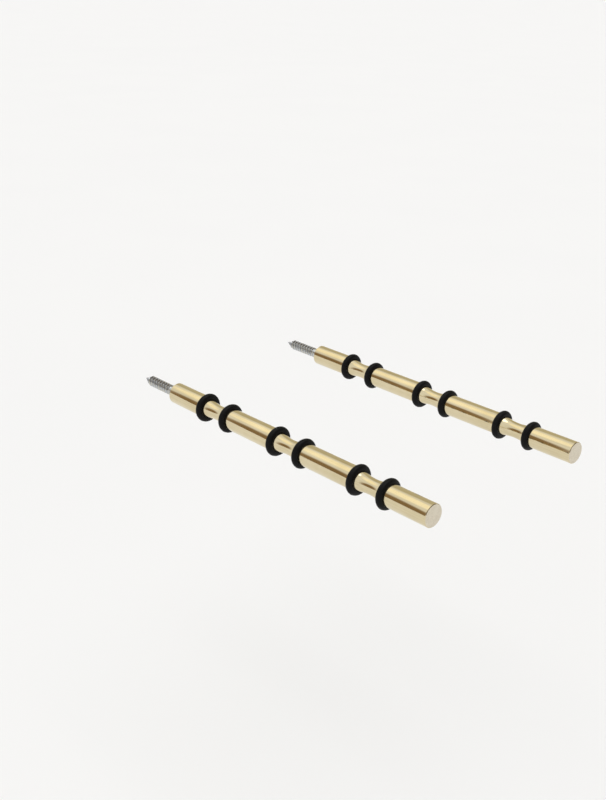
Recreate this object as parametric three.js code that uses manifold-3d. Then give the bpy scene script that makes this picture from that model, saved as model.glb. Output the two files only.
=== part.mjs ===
// A wall-mounted wine rack: two round metal rods stand straight out of the wall, side by side,
// and three bottles lie across them, one behind another. Each bottle rests on two pairs of rubber
// rings, one pair on each rod, so that the glass never touches the metal. Each rod screws onto a
// hanger bolt, which has a machine thread at the rod's end and a wood thread at the wall's end.
//
// Millimetres. The origin is on the wall's face, midway between the rods, at the height of their
// axes. +Y points into the wall, so the rods reach out towards -Y. +Z is up.

import * as THREE from 'three';
import { mergeVertices } from 'three/addons/utils/BufferGeometryUtils.js';
import Module from 'manifold-3d';

const wasm = await Module();
wasm.setup();

// The rods.
const rodRadius = 15.9 / 2;
const rodLength = 254;
const rodSpacing = 150; // between the two rods' axes
const tipChamfer = 0.4;
const wallChamfer = 0.6;

// The three bottle places, measured along a rod from its tip.
const bottleCount = 3;
const bottlePitch = 77;
const firstBottle = 50;

// The rubber rings: one stands this far before each bottle's axis and one this far behind it.
const ringFromBottle = 13;
const ringSectionRadius = 5.3 / 2;
const ringMeanRadius = 8; // from the rod's axis to the middle of the rubber

// The seat that a ring sits in, and the shallow cradle turned between the two rings of a pair.
const seatGap = 0.35; // between the rubber and its seat
const shoulderStep = 1.05; // how far the seat's lip on the cradle's side is below the rod's surface
const cradleRadius = 40; // a little more than a bottle's

// The hanger bolt.
const boltRadius = 8 / 2;
const boltMinorRadius = 6.6 / 2;
const boltPitch = 1.25;
const boltEngagement = 20; // how far the machine thread reaches into the rod
const boltLeadIn = 1; // length of the chamfer at the machine thread's end
const shankLength = 5;
const shankStep = 0.15; // how far the shank's surface is below the threads' crests
const woodRootRadius = 5.4 / 2;
const woodPitch = 3;
const woodThreadLength = 35;
const pointLength = 8;
const pointRadius = 0.3;
const leadInStep = 0.2; // how far the machine thread's chamfer starts below its root

// The threads' outlines over one turn: each pair is a share of the pitch and the radius there.
const machineOutline = [
  [0, boltMinorRadius],
  [0.5, boltRadius],
];
const woodOutline = [
  [0, woodRootRadius],
  [0.25, boltRadius],
  [0.3, boltRadius],
  [0.55, woodRootRadius],
];

// The hole in the rod's wall end that takes the bolt.
const holeGap = 0.3; // between the thread's crests and the hole
const holeRadius = boltRadius + holeGap;
const holeSpareDepth = 2;
const holeDepth = boltEngagement + holeSpareDepth;
const drillPointAngle = 118; // degrees, between the opposite sides of the cone a drill leaves
const drillPointDepth = holeRadius / Math.tan(THREE.MathUtils.degToRad(drillPointAngle / 2));

// How finely the round shapes are divided.
const rodSides = 20;
const seatSteps = 5;
const cradleSteps = 5;
const sectionSides = 8;
const threadSides = 12;

// A thread is made longer than needed and trimmed by a turned body a little wider than its crests;
// the bolt's pieces reach a little way into each other.
const spareTurns = 3;
const trimMargin = 0.1;
const joinOverlap = 0.5;
const weldDistance = 1e-4; // corners nearer than this become one

const rodMaterial = { color: 0xd9cca8, roughness: 0.12, metalness: 1 };
const rubberMaterial = { color: 0x141414, roughness: 0.55, metalness: 0 };
const zincMaterial = { color: 0xa9adb0, roughness: 0.38, metalness: 1 };

const point = (radius, y) => new THREE.Vector2(radius, y);

// How far from a seat's middle its lip is, where the rod's surface there has this radius.
const seatRadius = ringSectionRadius + seatGap;
const lipAngle = (surfaceRadius) => Math.acos((ringMeanRadius - surfaceRadius) / seatRadius);

// The round bottom of a ring's seat, from the lip nearer the tip to the lip nearer the wall.
function seatPoints(middleY, tipSideRadius, wallSideRadius) {
  const start = -lipAngle(tipSideRadius);
  const end = lipAngle(wallSideRadius);
  const points = [];
  for (let i = 0; i <= seatSteps; i++) {
    const angle = start + ((end - start) * i) / seatSteps;
    points.push(point(
      ringMeanRadius - seatRadius * Math.cos(angle),
      middleY + seatRadius * Math.sin(angle),
    ));
  }
  return points;
}

// The cradle's hollow curve between the shoulders of its two seats, without its two end points.
function cradlePoints(middleY) {
  const shoulderRadius = rodRadius - shoulderStep;
  const halfLength = ringFromBottle - seatRadius * Math.sin(lipAngle(shoulderRadius));
  const halfAngle = Math.asin(halfLength / cradleRadius);
  const arcMiddle = shoulderRadius + cradleRadius * Math.cos(halfAngle);
  const points = [];
  for (let i = 1; i < cradleSteps; i++) {
    const angle = halfAngle * ((2 * i) / cradleSteps - 1);
    points.push(point(
      arcMiddle - cradleRadius * Math.cos(angle),
      middleY + cradleRadius * Math.sin(angle),
    ));
  }
  return points;
}

// The places of the bottles' axes along Y, from the one at the tip to the one at the wall.
const bottleYs = Array.from(
  { length: bottleCount },
  (_, i) => -rodLength + firstBottle + i * bottlePitch,
);

// The rod is turned in one piece: its outline runs from the middle of the tip, along the outside
// to the wall, and back along the bolt's hole to the drill point on the axis.
function rodGeometry() {
  const shoulderRadius = rodRadius - shoulderStep;
  const outline = [
    point(0, -rodLength),
    point(rodRadius - tipChamfer, -rodLength),
    point(rodRadius, -rodLength + tipChamfer),
  ];
  for (const y of bottleYs) {
    outline.push(...seatPoints(y - ringFromBottle, rodRadius, shoulderRadius));
    outline.push(...cradlePoints(y));
    outline.push(...seatPoints(y + ringFromBottle, shoulderRadius, rodRadius));
  }
  outline.push(
    point(rodRadius, -wallChamfer),
    point(rodRadius - wallChamfer, 0),
    point(holeRadius, 0),
    point(holeRadius, -holeDepth),
    point(0, -holeDepth - drillPointDepth),
  );
  return new THREE.LatheGeometry(outline, rodSides);
}

function ringGeometry() {
  const outline = [];
  for (let i = 0; i <= sectionSides; i++) {
    const angle = (2 * Math.PI * i) / sectionSides;
    outline.push(point(
      ringMeanRadius + ringSectionRadius * Math.cos(angle),
      ringSectionRadius * Math.sin(angle),
    ));
  }
  return new THREE.LatheGeometry(outline, rodSides);
}

// A right-handed thread along Y, as one closed solid with a ragged end at each end. Each pair of
// its outline becomes one helix.
function threadGeometry(startY, length, pitch, outline) {
  const turns = Math.ceil(length / pitch) + 1;
  const rows = turns * outline.length;
  const positions = [];
  for (let row = 0; row < rows; row++) {
    const [share, radius] = outline[row % outline.length];
    const rowY = startY + pitch * (Math.floor(row / outline.length) + share - 1);
    for (let side = 0; side < threadSides; side++) {
      const turn = side / threadSides;
      const angle = 2 * Math.PI * turn;
      positions.push(radius * Math.sin(angle), rowY + pitch * turn, radius * Math.cos(angle));
    }
  }
  // After one turn a helix meets the one that starts a whole pitch further on.
  const vertex = (row, side) => (side < threadSides
    ? row * threadSides + side
    : (row + outline.length) * threadSides);
  const faces = [];
  const lastRow = rows - outline.length - 1;
  for (let row = 0; row < lastRow; row++) {
    for (let side = 0; side < threadSides; side++) {
      const a = vertex(row, side);
      const b = vertex(row, side + 1);
      const c = vertex(row + 1, side + 1);
      const d = vertex(row + 1, side);
      faces.push(a, b, c, a, c, d);
    }
  }
  // Each end is closed by a fan from a point on the axis.
  const fan = (firstRow, axisY, flip) => {
    const rim = [];
    for (let side = 0; side <= threadSides; side++) rim.push(vertex(firstRow, side));
    for (let row = firstRow + outline.length - 1; row > firstRow; row--) rim.push(vertex(row, 0));
    const axisVertex = positions.length / 3;
    positions.push(0, axisY, 0);
    rim.forEach((corner, i) => {
      const next = rim[(i + 1) % rim.length];
      faces.push(axisVertex, flip ? corner : next, flip ? next : corner);
    });
  };
  fan(0, startY - pitch / 2, false);
  fan(lastRow, startY + pitch * (lastRow / outline.length - 0.5), true);
  const geometry = new THREE.BufferGeometry();
  geometry.setAttribute('position', new THREE.Float32BufferAttribute(positions, 3));
  geometry.setIndex(faces);
  return geometry;
}

function toSolid(geometry) {
  const bare = geometry.clone();
  bare.deleteAttribute('normal');
  bare.deleteAttribute('uv');
  const merged = mergeVertices(bare, weldDistance);
  return new wasm.Manifold(new wasm.Mesh({
    numProp: 3,
    vertProperties: new Float32Array(merged.attributes.position.array),
    triVerts: new Uint32Array(merged.index.array),
  }));
}

function fromSolid(solid) {
  const mesh = solid.getMesh();
  const geometry = new THREE.BufferGeometry();
  geometry.setAttribute('position', new THREE.BufferAttribute(mesh.vertProperties, 3));
  geometry.setIndex(new THREE.BufferAttribute(mesh.triVerts, 1));
  return geometry;
}

// A solid turned about Y from an outline that starts and ends on the axis.
const turned = (outline) => toSolid(new THREE.LatheGeometry(outline, threadSides));

function boltGeometry() {
  const woodEnd = shankLength + woodThreadLength;
  const trimRadius = boltRadius + trimMargin;

  // The machine thread is a plain helical V, cut to length with a chamfered end.
  const machineThread = toSolid(threadGeometry(
    -boltEngagement - boltPitch,
    boltEngagement + spareTurns * boltPitch,
    boltPitch,
    machineOutline,
  )).intersect(turned([
    point(0, -boltEngagement),
    point(boltMinorRadius - leadInStep, -boltEngagement),
    point(trimRadius, -boltEngagement + boltLeadIn),
    point(trimRadius, joinOverlap),
    point(0, joinOverlap),
  ]));

  // The wood thread is a thin wall round a narrower root, cut to a point at its end.
  const woodThread = toSolid(threadGeometry(
    shankLength - woodPitch,
    woodThreadLength + spareTurns * woodPitch,
    woodPitch,
    woodOutline,
  )).intersect(turned([
    point(0, shankLength - joinOverlap),
    point(trimRadius, shankLength - joinOverlap),
    point(trimRadius, woodEnd - pointLength),
    point(pointRadius, woodEnd),
    point(0, woodEnd),
  ]));

  // The plain shank between the two threads.
  const shankRadius = boltRadius - shankStep;
  const shank = turned([
    point(0, 0),
    point(shankRadius, 0),
    point(shankRadius, shankLength),
    point(0, shankLength),
  ]);
  return fromSolid(machineThread.add(woodThread).add(shank));
}

function meshOf(name, geometry, material) {
  const mesh = new THREE.Mesh(geometry, new THREE.MeshStandardMaterial(material));
  mesh.name = name;
  return mesh;
}

// One peg of the rack: a rod with its rings, and the bolt that holds it.
function peg(side) {
  const group = new THREE.Group();
  group.add(meshOf(`${side}_rod`, rodGeometry(), rodMaterial));
  bottleYs.forEach((bottleY, i) => {
    [-ringFromBottle, ringFromBottle].forEach((offset, j) => {
      const ring = meshOf(`${side}_rubber_ring_${2 * i + j + 1}`, ringGeometry(), rubberMaterial);
      ring.position.y = bottleY + offset;
      group.add(ring);
    });
  });
  group.add(meshOf(`${side}_hanger_bolt`, boltGeometry(), zincMaterial));
  return group;
}

const rack = new THREE.Group();
const leftPeg = peg('left');
leftPeg.position.x = -rodSpacing / 2;
const rightPeg = peg('right');
rightPeg.position.x = rodSpacing / 2;
rack.add(leftPeg, rightPeg);

export default rack;
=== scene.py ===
"""The looks of a wall-mounted wine rack: two polished rods on hanger bolts, with rubber rings.

Each CAD node is replaced by a finer piece in the same place, in metres. The rods and bolts lie
along Y with the wall's face at Y = 0, the rods on its -Y side, and Z is up.
"""

import math

import bmesh
import bpy
from mathutils import Matrix, Vector


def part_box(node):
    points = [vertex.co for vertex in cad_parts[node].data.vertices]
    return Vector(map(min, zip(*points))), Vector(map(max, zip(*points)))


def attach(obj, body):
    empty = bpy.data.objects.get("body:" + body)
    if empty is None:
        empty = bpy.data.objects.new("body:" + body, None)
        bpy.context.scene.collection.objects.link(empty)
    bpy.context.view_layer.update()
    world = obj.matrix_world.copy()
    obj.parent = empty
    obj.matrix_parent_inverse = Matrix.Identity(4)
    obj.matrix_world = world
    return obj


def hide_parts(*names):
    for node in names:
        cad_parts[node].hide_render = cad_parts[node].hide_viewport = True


MM = 0.001
SIDES = ("left", "right")

# The camera: where it stands, where it looks and its lens.
CAMERA_PLACE = Vector((-537.35, -614.74, 298.67)) * MM
CAMERA_AZIMUTH = math.radians(44.05)  # from +Y towards +X
CAMERA_DIP = math.radians(21.43)  # below the horizon
CAMERA_ROLL = math.radians(2.69)
CAMERA_LENS = 48.75  # on a sensor 36 wide

# The studio.
FLOOR_DROP = 250 * MM  # from the rods' axes down to the floor
FLOOR_RADIUS = 60.0
FLOOR_SIDES = 96
FLOOR_ROUGHNESS = 0.9
LIGHT_STRENGTH = 0.9
LIGHT_SPREAD = math.radians(50)  # how wide the light looks from below
LIGHT_COLOUR = (1.0, 0.99, 0.97)
LIGHT_FROM = Vector((0, -0.15, 1))
ROOM_COLOUR = (0.93, 0.93, 0.925, 1)
DARK_ZONE = (0.22, 0.18, 0.14, 1)
# The room's zones: each one's middle by its azimuth from +Y towards -X and its elevation, then its
# inner and outer angular radius, all in degrees, and its colour.
ZONES = (
    (50, 10, 9, 24, (0.28, 0.19, 0.1, 1)),
    (-50, 22, 20, 34, (0.6, 0.55, 0.4, 1)),
    (14, 52, 5, 24, (1.3, 1.23, 1.02, 1)),
    (150, 18, 12, 24, DARK_ZONE),
    (190, 40, 14, 26, DARK_ZONE),
    (232, 34, 12, 26, DARK_ZONE),
    (272, 14, 6, 20, (0.3, 0.26, 0.2, 1)),
)

# The rods.
TIP_CHAMFER = 0.4 * MM
EDGE_ROUND = 0.06 * MM
WALL_CHAMFER = 0.6 * MM
LIP_ROUND = 0.15 * MM
RING_FROM_BOTTLE = 13 * MM  # from a bottle's axis to the ring before it and to the one behind
SEAT_RADIUS = 2.7 * MM
SHOULDER_STEP = 1.05 * MM  # how far the seat's inner lip is below the rod's surface
CRADLE_RADIUS = 40 * MM
FLAT_SHARE = 1 / 8  # how much of an edge's rounding counts as part of the flat end

# The rings.
RING_SECTION = 2.65 * MM
FLASH_HEIGHT = 0.05 * MM  # the parting line's ridge
FLASH_WIDTH = 0.22 * MM

# The bolts and the tapped holes that they fit.
BOLT_RADIUS = 4.0 * MM
BOLT_ROOT = 3.3 * MM
BOLT_PITCH = 1.25 * MM
BOLT_LEAD_IN = 1.0 * MM
LEAD_IN_RADIUS = 3.1 * MM
BOLT_RUN_OUT = 1.0 * MM  # over this length the machine thread's last turn fades into the shank
SHANK_RADIUS = 3.85 * MM
SHANK_LENGTH = 5.0 * MM
WOOD_ROOT = 2.7 * MM
WOOD_PITCH = 3.0 * MM
POINT_LENGTH = 8.0 * MM
POINT_RADIUS = 0.3 * MM
THREAD_GAP = 0.12 * MM
# Each thread's half width at its crest and at its foot, in pitches. They are whole 48ths, so
# that a ridge's edges lie on the mesh's rows.
MACHINE_RIDGE = (3 / 48, 18 / 48)
WOOD_RIDGE = (1 / 48, 13 / 48)
MOUTH_RADIUS = 4.3 * MM
MOUTH_DEPTH = BOLT_PITCH  # where the hole's plain mouth ends and its thread starts
HOLE_DEPTH = 22.0 * MM
DRILL_ANGLE = math.radians(118)

# How finely the round shapes are divided.
THREAD_SIDES = 48  # in a turn, and as many steps in a pitch
ROD_SIDES = 2 * THREAD_SIDES
RING_SIDES = 96
SECTION_STEPS = 36
ROUND_STEPS = 5
SEAT_STEPS = 12
CRADLE_STEPS = 22
SHANK_STEPS = 10
SHARP_ANGLE = math.radians(34)

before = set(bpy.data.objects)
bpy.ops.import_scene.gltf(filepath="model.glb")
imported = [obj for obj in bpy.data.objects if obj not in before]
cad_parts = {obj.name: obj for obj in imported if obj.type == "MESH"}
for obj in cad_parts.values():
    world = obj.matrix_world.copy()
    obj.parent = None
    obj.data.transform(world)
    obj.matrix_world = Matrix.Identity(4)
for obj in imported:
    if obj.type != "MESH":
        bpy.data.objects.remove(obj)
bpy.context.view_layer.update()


# ---------------------------------------------------------------- meshes


def rounded(corners):
    """An outline of (radius, y) points from (radius, y, rounding) corners."""
    points = []
    for i, (radius, y, rounding) in enumerate(corners):
        corner = Vector((radius, y))
        if not rounding:
            points.append(corner)
            continue
        before = (Vector(corners[i - 1][:2]) - corner).normalized()
        after = (Vector(corners[i + 1][:2]) - corner).normalized()
        half = before.angle(after) / 2
        centre = corner + (before + after).normalized() * rounding / math.sin(half)
        start = corner + before * rounding / math.tan(half) - centre
        end = corner + after * rounding / math.tan(half) - centre
        turn = start.angle(end)
        for step in range(ROUND_STEPS + 1):
            share = step / ROUND_STEPS
            points.append(
                centre
                + (math.sin((1 - share) * turn) * start + math.sin(share * turn) * end)
                / math.sin(turn)
            )
    return points


def side_points(ring, side, sides):
    """The points of a ring along one side, where the ring is taken to have this many sides."""
    step = len(ring) // sides
    return [ring[(side * step + i) % len(ring)] for i in range(step + 1)]


def turned(name, rows, closed=False):
    """A mesh turned about Y from (radius, y, sides) rows.

    A radius may be a function of the turn, from 0 to 1. Where the number of sides changes, it
    goes to a multiple or to a whole part of the number before.
    """
    verts, rings = [], []
    for radius, y, sides in rows:
        if not callable(radius) and radius == 0:
            rings.append([len(verts)] * sides)
            verts.append((0, y, 0))
            continue
        rings.append(list(range(len(verts), len(verts) + sides)))
        for side in range(sides):
            turn = side / sides
            reach = radius(turn) if callable(radius) else radius
            angle = 2 * math.pi * turn
            verts.append((reach * math.sin(angle), y, reach * math.cos(angle)))
    faces = []
    pairs = list(zip(rings, rings[1:])) + ([(rings[-1], rings[0])] if closed else [])
    for near, far in pairs:
        sides = min(len(near), len(far))
        for side in range(sides):
            corners = side_points(near, side, sides) + side_points(far, side, sides)[::-1]
            faces.append(list(dict.fromkeys(corners)))
    mesh = bpy.data.meshes.new(name)
    mesh.from_pydata(verts, [], faces)
    shaping = bmesh.new()
    shaping.from_mesh(mesh)
    # The shorter diagonal of a four-sided face in a thread runs along the helix.
    bmesh.ops.triangulate(shaping, faces=shaping.faces, quad_method="SHORT_EDGE")
    bmesh.ops.recalc_face_normals(shaping, faces=shaping.faces)
    shaping.to_mesh(mesh)
    shaping.free()
    mesh.shade_smooth()
    mesh.set_sharp_from_angle(angle=SHARP_ANGLE)
    return mesh


def lip_angle(mean_radius, surface_radius):
    """How far round a ring's seat its lip is, where the rod's surface has this radius."""
    return math.acos((mean_radius - surface_radius) / SEAT_RADIUS)


def seat(mean_radius, middle_y, tip_side_radius, wall_side_radius):
    """The corners of a ring's seat, with slightly rounded lips."""
    start = -lip_angle(mean_radius, tip_side_radius)
    end = lip_angle(mean_radius, wall_side_radius)
    corners = []
    for step in range(SEAT_STEPS + 1):
        angle = start + (end - start) * step / SEAT_STEPS
        corners.append(
            (
                mean_radius - SEAT_RADIUS * math.cos(angle),
                middle_y + SEAT_RADIUS * math.sin(angle),
                LIP_ROUND if step in (0, SEAT_STEPS) else 0,
            )
        )
    return corners


def cradle(mean_radius, middle_y, shoulder_radius):
    """The corners of the hollow between a pair's seats, without its two ends."""
    lip_reach = SEAT_RADIUS * math.sin(lip_angle(mean_radius, shoulder_radius))
    half_angle = math.asin((RING_FROM_BOTTLE - lip_reach) / CRADLE_RADIUS)
    arc_middle = shoulder_radius + CRADLE_RADIUS * math.cos(half_angle)
    corners = []
    for step in range(1, CRADLE_STEPS):
        angle = half_angle * (2 * step / CRADLE_STEPS - 1)
        corners.append(
            (
                arc_middle - CRADLE_RADIUS * math.cos(angle),
                middle_y + CRADLE_RADIUS * math.sin(angle),
                0,
            )
        )
    return corners


def ridge(phase, half_crest, half_foot):
    """How high a thread stands: 1 within half_crest of a whole phase, 0 beyond half_foot."""
    from_crest = abs((phase + 0.5) % 1 - 0.5)
    return min(max((half_foot - from_crest) / (half_foot - half_crest), 0), 1)


def between(first, second, share):
    """A number between two, where the share is kept from 0 to 1."""
    return first + (second - first) * min(max(share, 0), 1)


def machine_radius(y, turn):
    """The machine thread's surface, right-handed."""
    return between(BOLT_ROOT, BOLT_RADIUS, ridge(y / BOLT_PITCH - turn, *MACHINE_RIDGE))


def wood_radius(y, turn):
    """The wood thread's surface, right-handed, which starts at the end of the shank."""
    phase = (y - SHANK_LENGTH) / WOOD_PITCH - turn
    return between(WOOD_ROOT, BOLT_RADIUS, ridge(phase, *WOOD_RIDGE))


def rod_mesh(name, radius, tip, ring_ys, mean_radius):
    """A rod from its tip, along its outside to the wall, and back along its tapped hole."""
    shoulder = radius - SHOULDER_STEP
    corners = [
        (0, tip, 0),
        (radius - TIP_CHAMFER, tip, EDGE_ROUND),
        (radius, tip + TIP_CHAMFER, EDGE_ROUND),
    ]
    for before, behind in zip(ring_ys[::2], ring_ys[1::2]):
        corners += seat(mean_radius, before, radius, shoulder)
        corners += cradle(mean_radius, (before + behind) / 2, shoulder)
        corners += seat(mean_radius, behind, shoulder, radius)
    corners += [
        (radius, -WALL_CHAMFER, LIP_ROUND),
        (radius - WALL_CHAMFER, 0, LIP_ROUND),
        (MOUTH_RADIUS, 0, LIP_ROUND),
        (MOUTH_RADIUS, -MOUTH_DEPTH, 0),
    ]
    rows = []
    for reach, y in rounded(corners):
        rows.append((reach, y, ROD_SIDES if reach > MOUTH_RADIUS + LIP_ROUND else THREAD_SIDES))
    # The tapped hole's thread rises over its first half pitch.
    for step in range(1, round((HOLE_DEPTH - MOUTH_DEPTH) / BOLT_PITCH * THREAD_SIDES)):
        y = -MOUTH_DEPTH - step * BOLT_PITCH / THREAD_SIDES
        rise = 2 * step / THREAD_SIDES

        def tapped(turn, y=y, rise=rise):
            return between(MOUTH_RADIUS, machine_radius(y, turn) + THREAD_GAP, rise)

        rows.append((tapped, y, THREAD_SIDES))
    drill_radius = BOLT_ROOT + THREAD_GAP
    rows.append((drill_radius, -HOLE_DEPTH, THREAD_SIDES))
    drill_point = drill_radius / math.tan(DRILL_ANGLE / 2)
    rows.append((0, -HOLE_DEPTH - drill_point, THREAD_SIDES))
    return turned(name, rows)


def ring_mesh(name, mean_radius):
    """A moulded ring, with the fine ridge of its parting line round its outside."""
    crest = mean_radius + RING_SECTION
    points = [
        (crest, -FLASH_WIDTH / 2),
        (crest + FLASH_HEIGHT, -FLASH_WIDTH / 4),
        (crest + FLASH_HEIGHT, FLASH_WIDTH / 4),
        (crest, FLASH_WIDTH / 2),
    ]
    for step in range(1, SECTION_STEPS):
        angle = 2 * math.pi * step / SECTION_STEPS
        reach = mean_radius + RING_SECTION * math.cos(angle)
        points.append((reach, RING_SECTION * math.sin(angle)))
    return turned(name, [(*point, RING_SIDES) for point in points], closed=True)


def bolt_mesh(name, tip, point):
    """A hanger bolt: machine thread, shank, and wood thread tapering to a point."""
    rows = [(0, tip, THREAD_SIDES)]
    for step in range(round(-tip / BOLT_PITCH * THREAD_SIDES)):
        y = tip + step * BOLT_PITCH / THREAD_SIDES
        lead_in = between(LEAD_IN_RADIUS, BOLT_RADIUS, (y - tip) / BOLT_LEAD_IN)
        run_out = (y + BOLT_PITCH) / BOLT_RUN_OUT

        def machine(turn, y=y, lead_in=lead_in, run_out=run_out):
            return between(min(machine_radius(y, turn), lead_in), SHANK_RADIUS, run_out)

        rows.append((machine, y, THREAD_SIDES))
    for step in range(SHANK_STEPS):
        rows.append((SHANK_RADIUS, SHANK_LENGTH * step / SHANK_STEPS, THREAD_SIDES))
    for step in range(round((point - SHANK_LENGTH) / WOOD_PITCH * THREAD_SIDES)):
        y = SHANK_LENGTH + step * WOOD_PITCH / THREAD_SIDES
        run_in = step / THREAD_SIDES
        taper = (point - y) / POINT_LENGTH

        def wood(turn, y=y, run_in=run_in, taper=taper):
            full = between(SHANK_RADIUS, wood_radius(y, turn), run_in)
            return between(POINT_RADIUS, full, taper)

        rows.append((wood, y, THREAD_SIDES))
    rows.append((0, point, THREAD_SIDES))
    return turned(name, rows)


# ---------------------------------------------------------------- materials


def linear(red, green, blue):
    """A colour for a shader from its 0 to 255 screen values, by the sRGB curve."""
    shares = []
    for value in (red, green, blue):
        share = value / 255
        shares.append(share / 12.92 if value < 11 else ((share + 0.055) / 1.055) ** 2.4)
    return (*shares, 1.0)


# The two tones that each surface varies between.
BARREL_TONES = linear(212, 198, 161), linear(222, 209, 175)
FACED_TONES = linear(208, 198, 178), linear(221, 213, 195)
RUBBER_TONES = linear(5, 5, 5), linear(14, 14, 14)
PLATE_TONES = linear(190, 196, 203), linear(206, 203, 190)
FLOOR_TONES = (0.868, 0.88, 0.908, 1), (0.873, 0.885, 0.912, 1)

# Painted shade: a darker zinc colour where the surface lies nearer the bolt's axis.
THREAD_PAINTED_SHADE_TONE = linear(166, 168, 171)  # painted shade, darkest down in the thread roots and at the bolt's point

# Noise is drawn out along an axis by a small factor on it.
ALONG_THE_ROD = (1, 0.012, 1)
ROUND_THE_ROD = (0.01, 1, 0.01)
SCUFF_SHAPE = (1, 0.2, 1)

# The lowest and highest values taken from one noise, and from two added together.
NOISE_RANGE = (0.3, 0.7)
SUM_RANGE = (0.7, 1.3)


def add_node(tree, kind, settings=(), **inputs):
    """A node with its settings, and each input set or linked by its name or, as _0, its place."""
    node = tree.nodes.new("ShaderNode" + kind)
    for name, value in dict(settings).items():
        setattr(node, name, value)
    for name, value in inputs.items():
        place = int(name[1:]) if name[0] == "_" else name.replace("_", " ")
        if isinstance(value, bpy.types.NodeSocket):
            tree.links.new(value, node.inputs[place])
        else:
            node.inputs[place].default_value = value
    return node


def new_material(name, metallic):
    """A material, its tree, its shader and its object coordinates."""
    material = bpy.data.materials.new(name)
    material.use_nodes = True
    tree = material.node_tree
    shader = tree.nodes["Principled BSDF"]
    shader.inputs["Metallic"].default_value = metallic
    place = add_node(tree, "TexCoord").outputs["Object"]
    return material, tree, shader, place


def noise(tree, place, scale, detail=2.0, stretch=(1, 1, 1)):
    """Noise of this many grains to the metre, closer or wider along each axis."""
    grid = add_node(tree, "VectorMath", {"operation": "MULTIPLY"}, _0=place, _1=stretch)
    return add_node(
        tree, "TexNoise", _0=grid.outputs[0], Scale=scale, Detail=detail
    ).outputs["Fac"]


def remap(tree, value, source, target):
    """A value taken smoothly from one range to another, and kept inside it."""
    return add_node(
        tree,
        "MapRange",
        {"interpolation_type": "SMOOTHSTEP"},
        Value=value,
        From_Min=source[0],
        From_Max=source[1],
        To_Min=target[0],
        To_Max=target[1],
    ).outputs["Result"]


def total(tree, *values):
    """The sum of some values."""
    result = values[0]
    for value in values[1:]:
        result = add_node(tree, "Math", {"operation": "ADD"}, _0=result, _1=value).outputs[0]
    return result


def mix(tree, share, first, second):
    """A colour between two."""
    return add_node(
        tree, "Mix", {"data_type": "RGBA"}, _0=share, _6=first, _7=second
    ).outputs[2]


def bump(tree, height, distance, normal=None):
    """A normal from a height, on top of another normal if there is one."""
    inputs = {"Height": height, "Distance": distance, "Strength": 1.0}
    if normal:
        inputs["Normal"] = normal
    return add_node(tree, "Bump", **inputs).outputs["Normal"]


def axis_distance(tree, place):
    """How far a point is from the piece's own axis, which is its Y axis."""
    flat = add_node(tree, "VectorMath", {"operation": "MULTIPLY"}, _0=place, _1=(1, 0, 1))
    return add_node(
        tree, "VectorMath", {"operation": "LENGTH"}, _0=flat.outputs[0]
    ).outputs["Value"]


def barrel_material():
    """Polished warm nickel, with fine lengthwise polishing streaks and faint turning marks."""
    material, tree, shader, place = new_material("polished_metal", 1.0)
    streaks = noise(tree, place, scale=1100, detail=3.0, stretch=ALONG_THE_ROD)
    turning = noise(tree, place, scale=2600, stretch=ROUND_THE_ROD)
    smudges = noise(tree, place, scale=70, detail=4.0)
    scratches = noise(tree, place, scale=500, detail=5.0, stretch=SCUFF_SHAPE)
    scuffs = remap(tree, scratches, (0.62, 0.74), (0, 1))
    tone = remap(tree, total(tree, streaks, smudges), SUM_RANGE, (0, 1))
    colour = mix(tree, tone, *BARREL_TONES)
    tree.links.new(colour, shader.inputs["Base Color"])
    roughness = total(
        tree,
        remap(tree, streaks, NOISE_RANGE, (0.06, 0.1)),
        remap(tree, smudges, (0.35, 0.7), (0, 0.04)),
        remap(tree, scuffs, (0, 1), (0, 0.07)),
    )
    tree.links.new(roughness, shader.inputs["Roughness"])
    lines = bump(tree, turning, distance=0.0012 * MM)
    relief = bump(tree, streaks, distance=0.0025 * MM, normal=lines)
    tree.links.new(relief, shader.inputs["Normal"])
    return material


def end_material():
    """The same metal where a facing cut left fine rings."""
    material, tree, shader, place = new_material("faced_metal", 1.0)
    reach = axis_distance(tree, place)
    wide = add_node(tree, "CombineXYZ", X=reach)
    cuts = noise(tree, wide.outputs[0], scale=5200)
    smudges = noise(tree, place, scale=240, detail=4.0)
    tone = remap(tree, total(tree, cuts, smudges), SUM_RANGE, (0, 1))
    colour = mix(tree, tone, *FACED_TONES)
    tree.links.new(colour, shader.inputs["Base Color"])
    roughness = total(
        tree,
        remap(tree, cuts, NOISE_RANGE, (0.2, 0.3)),
        remap(tree, smudges, NOISE_RANGE, (0, 0.08)),
    )
    tree.links.new(roughness, shader.inputs["Roughness"])
    tree.links.new(bump(tree, cuts, distance=0.012 * MM), shader.inputs["Normal"])
    return material


def rubber_material():
    """Moulded black rubber, semi-matt, with a faint grey bloom and fine pores."""
    material, tree, shader, place = new_material("black_rubber", 0.0)
    shader.inputs["Specular IOR Level"].default_value = 0.12
    bloom = noise(tree, place, scale=260, detail=5.0)
    pores = noise(tree, place, scale=2400, detail=3.0)
    share = remap(tree, bloom, (0.35, 0.75), (0, 1))
    colour = mix(tree, share, *RUBBER_TONES)
    tree.links.new(colour, shader.inputs["Base Color"])
    roughness = total(
        tree,
        remap(tree, bloom, NOISE_RANGE, (0.36, 0.5)),
        remap(tree, pores, NOISE_RANGE, (0, 0.08)),
    )
    tree.links.new(roughness, shader.inputs["Roughness"])
    tree.links.new(bump(tree, pores, distance=0.02 * MM), shader.inputs["Normal"])
    return material


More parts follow.
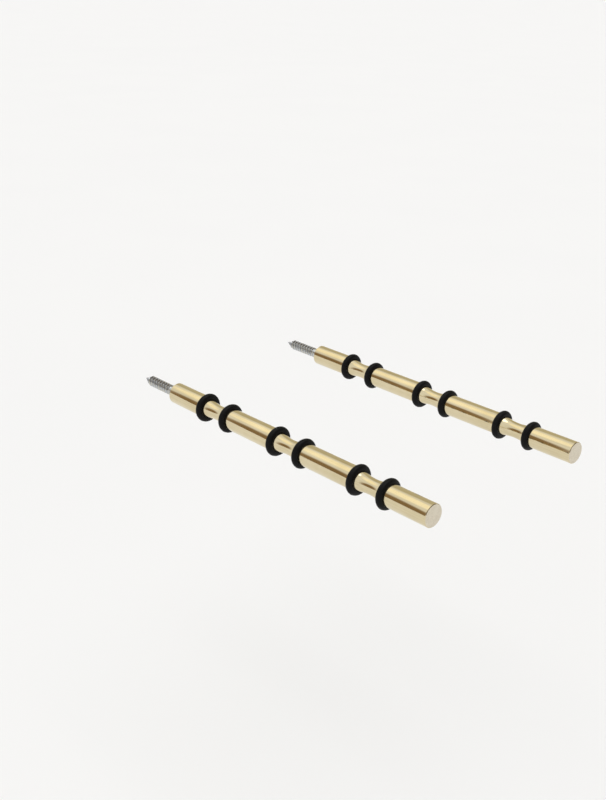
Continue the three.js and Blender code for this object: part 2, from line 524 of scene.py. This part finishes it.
def zinc_material():
    """Bright zinc plate, slightly mottled, rougher and with painted shade down in the threads."""
    material, tree, shader, place = new_material("zinc_plated_steel", 1.0)
    mottle = noise(tree, place, scale=420, detail=4.0)
    grain = noise(tree, place, scale=2600, detail=3.0)
    reach = axis_distance(tree, place)
    plate = mix(tree, remap(tree, mottle, (0.35, 0.65), (0, 1)), *PLATE_TONES)
    height = remap(tree, reach, (WOOD_ROOT, BOLT_RADIUS), (0, 1))
    # Painted shade: darker towards the axis, so in the thread roots and towards the point.
    colour = mix(tree, height, THREAD_PAINTED_SHADE_TONE, plate)
    tree.links.new(colour, shader.inputs["Base Color"])
    roughness = total(
        tree,
        remap(tree, mottle, NOISE_RANGE, (0.15, 0.24)),
        remap(tree, height, (0, 1), (0.08, 0)),
    )
    tree.links.new(roughness, shader.inputs["Roughness"])
    tree.links.new(bump(tree, grain, distance=0.003 * MM), shader.inputs["Normal"])
    return material


# ---------------------------------------------------------------- pieces


def placed(name, mesh, place, body, node, materials):
    """A piece at its place, riding on a body in place of a CAD node."""
    piece = bpy.data.objects.new(name, mesh)
    bpy.context.scene.collection.objects.link(piece)
    piece.location = place
    for material in materials:
        mesh.materials.append(material)
    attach(piece, body)
    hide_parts(node)


def mark_ends(mesh, tip):
    """Gives a rod's flat ends and its hole the faced metal, its second material."""
    tip_limit = tip + EDGE_ROUND * FLAT_SHARE
    wall_limit = -LIP_ROUND * FLAT_SHARE
    hole_limit = MOUTH_RADIUS + LIP_ROUND / 2
    for face in mesh.polygons:
        flat = face.center.y < tip_limit or face.center.y > wall_limit
        inside = math.hypot(face.center.x, face.center.z) < hole_limit
        if flat or inside:
            face.material_index = 1


barrel, faced = barrel_material(), end_material()
rubber, zinc = rubber_material(), zinc_material()

for side in SIDES:
    low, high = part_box(side + "_rod")
    axis = (low + high) / 2
    start = Vector((axis.x, 0, axis.z))
    radius = (high.x - low.x) / 2
    ring_names = sorted(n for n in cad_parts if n.startswith(side + "_rubber_ring"))
    ring_boxes = [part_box(n) for n in ring_names]
    ring_ys = [(a.y + b.y) / 2 for a, b in ring_boxes]
    mean_radius = (ring_boxes[0][1].x - ring_boxes[0][0].x) / 2 - RING_SECTION

    mesh = rod_mesh(side + "_turned_rod", radius, low.y, ring_ys, mean_radius)
    placed(side + "_turned_rod", mesh, start, side + "_rod_body", side + "_rod",
           (barrel, faced))
    mark_ends(mesh, low.y)

    for node, y in zip(ring_names, ring_ys):
        name = node.replace("rubber", "moulded")
        placed(name, ring_mesh(name, mean_radius), start + Vector((0, y, 0)),
               side + "_ring_set", node, (rubber,))

    low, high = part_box(side + "_hanger_bolt")
    mesh = bolt_mesh(side + "_threaded_bolt", low.y, high.y)
    placed(side + "_threaded_bolt", mesh, start, "wall_bolts", side + "_hanger_bolt",
           (zinc,))


# ---------------------------------------------------------------- studio


def make_floor():
    """A plain pale round floor, well below the rods."""
    shaping = bmesh.new()
    rim = []
    for side in range(FLOOR_SIDES):
        angle = 2 * math.pi * side / FLOOR_SIDES
        x, y = FLOOR_RADIUS * math.cos(angle), FLOOR_RADIUS * math.sin(angle)
        rim.append(shaping.verts.new((x, y, -FLOOR_DROP)))
    shaping.faces.new(rim)
    mesh = bpy.data.meshes.new("studio_floor")
    shaping.to_mesh(mesh)
    shaping.free()
    floor = bpy.data.objects.new("studio_floor", mesh)
    bpy.context.scene.collection.objects.link(floor)
    material, tree, shader, place = new_material("studio_floor", 0.0)
    share = remap(tree, noise(tree, place, scale=3.0), NOISE_RANGE, (0, 1))
    colour = mix(tree, share, *FLOOR_TONES)
    tree.links.new(colour, shader.inputs["Base Color"])
    shader.inputs["Roughness"].default_value = FLOOR_ROUGHNESS
    shader.inputs["Specular IOR Level"].default_value = 0
    mesh.materials.append(material)


def make_world():
    """A pale room with brighter and darker zones, which give the polished metal its bands."""
    world = bpy.data.worlds.new("studio")
    bpy.context.scene.world = world
    world.use_nodes = True
    tree = world.node_tree
    sight = add_node(tree, "TexCoord").outputs["Generated"]
    colour = ROOM_COLOUR
    for azimuth, elevation, inner, outer, shade in ZONES:
        turn, rise = math.radians(azimuth), math.radians(elevation)
        middle = (
            -math.sin(turn) * math.cos(rise),
            math.cos(turn) * math.cos(rise),
            math.sin(rise),
        )
        near = add_node(
            tree, "VectorMath", {"operation": "DOT_PRODUCT"}, _0=sight, _1=middle
        ).outputs["Value"]
        edge = (math.cos(math.radians(outer)), math.cos(math.radians(inner)))
        share = remap(tree, near, edge, (0, 1))
        colour = mix(tree, share, colour, shade)
    tree.links.new(colour, tree.nodes["Background"].inputs["Color"])


def make_light():
    """One broad soft light overhead."""
    light = bpy.data.lights.new("soft_light", "SUN")
    light.energy = LIGHT_STRENGTH
    light.angle = LIGHT_SPREAD
    light.color = LIGHT_COLOUR
    lamp = bpy.data.objects.new("soft_light", light)
    bpy.context.scene.collection.objects.link(lamp)
    lamp.rotation_mode = "QUATERNION"
    lamp.rotation_quaternion = LIGHT_FROM.to_track_quat("Z", "Y")


def make_camera():
    """The main camera, as fitted to the photograph."""
    data = bpy.data.cameras.new("main_camera")
    data.lens = CAMERA_LENS
    data.clip_end = 2 * FLOOR_RADIUS
    camera = bpy.data.objects.new("main_camera", data)
    bpy.context.scene.collection.objects.link(camera)
    forward = Vector(
        (
            math.sin(CAMERA_AZIMUTH) * math.cos(CAMERA_DIP),
            math.cos(CAMERA_AZIMUTH) * math.cos(CAMERA_DIP),
            -math.sin(CAMERA_DIP),
        )
    )
    level = Vector((math.cos(CAMERA_AZIMUTH), -math.sin(CAMERA_AZIMUTH), 0))
    right = level * math.cos(CAMERA_ROLL) + level.cross(forward) * math.sin(CAMERA_ROLL)
    turn = Matrix((right, right.cross(forward), -forward)).transposed()
    camera.matrix_world = Matrix.Translation(CAMERA_PLACE) @ turn.to_4x4()
    bpy.context.scene.camera = camera


make_floor()
make_world()
make_light()
make_camera()
bpy.context.scene.view_settings.view_transform = "Standard"
